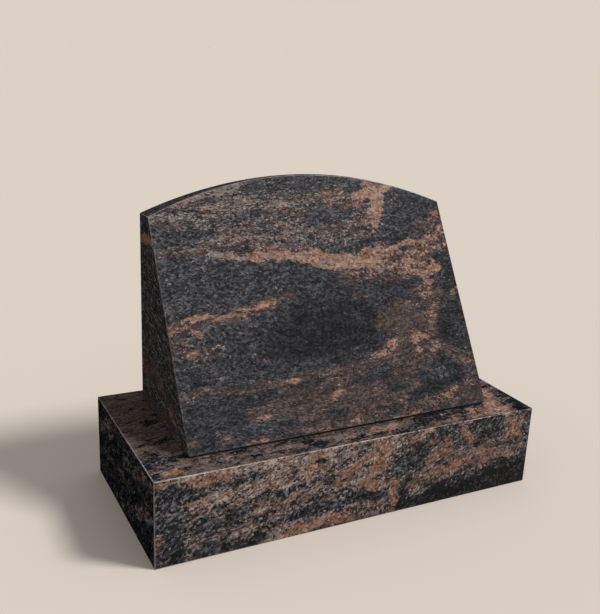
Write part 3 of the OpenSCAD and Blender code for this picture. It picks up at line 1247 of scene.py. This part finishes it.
@dataclass
class Studio:
    """Pale floor, soft light and camera.

    Attributes:
        backdrop: Colour of the floor and of the room.
        ceiling: Colour that polished stone mirrors from high up in the room.
        bounce: Colour that the floor throws back on the stone.
        horizon: Heights, as sines, between which the mirrored room turns to the ceiling.
        lens: Focal length over a sensor 36 mm high, in millimetres.
        sight: How far the camera sees, in metres.
        place: Camera's place, in metres.
        yaw: Turn of the view to the right of straight on, in degrees.
        pitch: Tilt of the view down, in degrees.
        roll: Tilt of the camera's right side up, in degrees.
        sun_turn: Where the key light stands, in degrees to the right of straight in front.
        sun_height: Height of the key light over the floor, in degrees.
        sun_spread: Width of the key light as seen from the stone, in degrees.
        sun_power: Strength of the key light.
        fill: Share of full light that comes from the room.
        floor_core: Radius of the innermost ring of the floor, in metres.
        floor_rings: Rings of the floor, each twice as wide as the last.
        floor_spokes: Lines of the floor that run outwards.
    """

    backdrop: str = "#dcd1c5"
    ceiling: str = "#2b2a29"
    bounce: str = "#57524e"
    horizon: tuple[float, float] = (0.14, 0.26)
    lens: float = 49.110096
    sight: float = 200.0
    place: tuple[float, float, float] = (-0.721, -1.301, 0.815)
    yaw: float = 27.40
    pitch: float = 17.41
    roll: float = 2.49
    sun_turn: float = 55.0
    sun_height: float = 48.0
    sun_spread: float = 14.0
    sun_power: float = 2.45
    fill: float = 0.42
    floor_core: float = 0.05
    floor_rings: int = 12
    floor_spokes: int = 96

    def camera(self) -> None:
        """Set up the camera from its three angles."""
        data = bpy.data.cameras.new("camera")
        data.lens = self.lens
        data.clip_end = self.sight
        camera = new_object("camera", data)
        yaw, pitch, roll = (math.radians(a) for a in (self.yaw, self.pitch, self.roll))
        ahead = Vector((math.sin(yaw) * math.cos(pitch), math.cos(yaw) * math.cos(pitch), -math.sin(pitch)))
        level = Vector((math.cos(yaw), -math.sin(yaw), 0.0))
        right = math.cos(roll) * level + math.sin(roll) * level.cross(ahead)
        axes = Matrix((right, right.cross(ahead), -ahead)).transposed()
        camera.matrix_world = Matrix.Translation(self.place) @ axes.to_4x4()
        bpy.context.scene.camera = camera

    def direct_sight(self, tree: bpy.types.NodeTree) -> bpy.types.Node:
        """1 for rays from the camera, off a gloss or through glass, and 0 for the rest.

        Args:
            tree: Node tree that takes the nodes.

        Returns:
            The node that gives the result.
        """
        path = add_node(tree, "LightPath").outputs
        seen = path["Is Camera Ray"]
        for ray in ("Is Glossy Ray", "Is Transmission Ray"):
            seen = add_node(tree, "Math", {"Value": seen, "Value1": path[ray]}, operation="MAXIMUM")
        return seen

    def floor(self) -> None:
        """Lay a wide round floor: rings about the origin, each twice as wide as the last."""
        rings, spokes = self.floor_rings, self.floor_spokes
        radius = np.concatenate([[0.0], self.floor_core * 2.0 ** np.arange(rings)])
        angle = np.linspace(0.0, 2 * np.pi, spokes, endpoint=False)
        x, y = np.outer(radius, np.cos(angle)), np.outer(radius, np.sin(angle))
        verts = np.column_stack([x.ravel(), y.ravel(), np.zeros(x.size)])
        i, j = np.meshgrid(np.arange(rings), np.arange(spokes), indexing="ij")
        k = (j + 1) % spokes
        quads = np.stack(
            [i * spokes + j, (i + 1) * spokes + j, (i + 1) * spokes + k, i * spokes + k], axis=-1
        )
        mesh = bpy.data.meshes.new("floor")
        mesh.from_pydata(verts, [], quads.reshape(-1, 4).tolist())
        # Matt floor paint: the eye sees the backdrop's colour without a joint, and the
        # stone gets the dimmer light of the ground that it stands on
        material, tree = new_material("painted_floor")
        seen = add_node(tree, "BsdfDiffuse", {"Color": linear_colour(self.backdrop)})
        felt = add_node(tree, "BsdfDiffuse", {"Color": linear_colour(self.bounce)})
        paint = add_node(tree, "MixShader", {"Fac": self.direct_sight(tree), "Shader": felt, "Shader1": seen})
        add_node(tree, "OutputMaterial", {"Surface": paint})
        mesh.materials.append(material)
        new_object("floor", mesh)

    def lights(self) -> None:
        """Set one wide key light, and a plain room whose mirror image darkens upwards."""
        turn, height = math.radians(self.sun_turn), math.radians(self.sun_height)
        towards = Vector((
            math.sin(turn) * math.cos(height), -math.cos(turn) * math.cos(height), math.sin(height),
        ))
        data = bpy.data.lights.new("key", "SUN")
        data.energy = self.sun_power
        data.angle = math.radians(self.sun_spread)
        new_object("key", data).rotation_euler = towards.to_track_quat("Z", "Y").to_euler()
        world = bpy.data.worlds.new("room")
        world.use_nodes = True
        world.node_tree.nodes.clear()
        node = partial(add_node, world.node_tree)
        up = node("SeparateXYZ", {"Vector": node("TexCoord").outputs["Generated"]}).outputs["Z"]
        low, high = self.horizon
        rise = node(
            "MapRange", {"Value": up, "From Min": low, "From Max": high}, interpolation_type="SMOOTHSTEP"
        )
        mirrored = node("LightPath").outputs["Is Glossy Ray"]
        dark = node("Math", {"Value": rise, "Value1": mirrored}, operation="MULTIPLY")
        colour = node("ValToRGB", {"Fac": dark}, stops=((0.0, self.backdrop), (1.0, self.ceiling)))
        seen = node("Background", {"Color": colour, "Strength": 1.0})
        lit = node("Background", {"Color": (1.0, 1.0, 1.0, 1.0), "Strength": self.fill})
        sight = self.direct_sight(world.node_tree)
        node("OutputWorld", {"Surface": node("MixShader", {"Fac": sight, "Shader": lit, "Shader1": seen})})
        bpy.context.scene.world = world


def main() -> None:
    """Build the headstone, dress it and set up the studio."""
    bpy.context.scene.view_settings.view_transform = "Standard"
    studio = Studio()
    studio.camera()
    studio.floor()
    studio.lights()
    for stone in (
        CutStone("base_stone", "base", BASE_FIGURE, COARSE_GNEISS),
        SlantStone("wedge_stone", "slant_stone", SLANT_FIGURE, FINE_GNEISS, wear_and_sheen=0.3, wear_and_sheen_seed=5455),
    ):
        piece = stone.build()
        LOG.info("%s: %d points, %s", piece.name, len(piece.data.vertices), stone.finish.name)
    SettingBed().dress()


if __name__ == "__main__":
    main()
